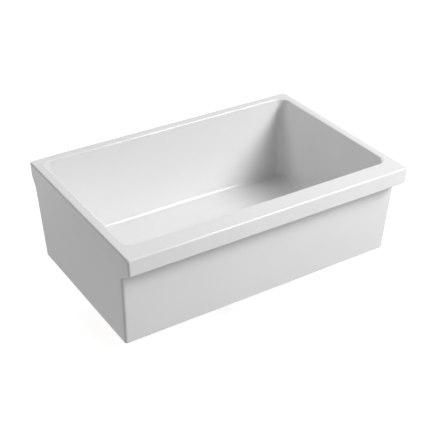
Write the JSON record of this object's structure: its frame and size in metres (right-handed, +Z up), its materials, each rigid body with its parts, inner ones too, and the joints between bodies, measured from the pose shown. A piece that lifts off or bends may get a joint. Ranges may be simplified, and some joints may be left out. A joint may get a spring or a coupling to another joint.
{
  "type": "farmhouse apron front sink",
  "caption": "Farmhouse kitchen sink in glazed fireclay: deep rectangular bowl, flat rim, plain leaning apron under a projecting lip, with a basket strainer waste whose basket lifts out.",
  "frame": {"origin": "on the outlet's axis, in the plane of the underside that rests on the cabinet's frame", "axes": "+Z up out of the bowl, -Y out of the apron towards the person at the sink, +X to that person's right"},
  "size_m": [0.7616, 0.508, 0.408],
  "materials": {
    "fireclay": "white gloss glaze",
    "stainless": "satin",
    "plated_tube": "polished",
    "brass": "as cast and machined",
    "seal_rubber": "matt black",
    "stopper_rubber": "matt black",
    "fibre": "waxed fibre",
    "washer_plastic": "matt off-white"
  },
  "bodies": {
    "fixed_unit": {"sink_body": "fireclay", "strainer_body": "stainless", "crossbar": "brass", "flange_seal": "seal_rubber", "under_gasket": "seal_rubber", "friction_ring": "fibre", "locknut": "brass", "tailpiece_washer": "washer_plastic", "tailpiece": "plated_tube", "coupling_nut": "plated_tube"},
    "basket_unit": {"basket": "stainless", "basket_sleeve": "brass", "sleeve_nut": "brass", "spring_clip": "stainless"},
    "post_unit": {"post_stem": "stainless", "post_knob": "stainless", "stopper_plate": "stainless", "stopper_washer": "stopper_rubber", "retaining_washer": "stainless", "stem_nut": "brass"}
  },
  "joints": [
    {"name": "basket_lift", "type": "slide", "parent": "fixed_unit", "child": "basket_unit", "axis": [0, 0, 1], "range_m": [0, 0.3]},
    {"name": "post_pull", "type": "slide", "parent": "basket_unit", "child": "post_unit", "axis": [0, 0, 1], "range_m": [0, 0.008]}
  ]
}
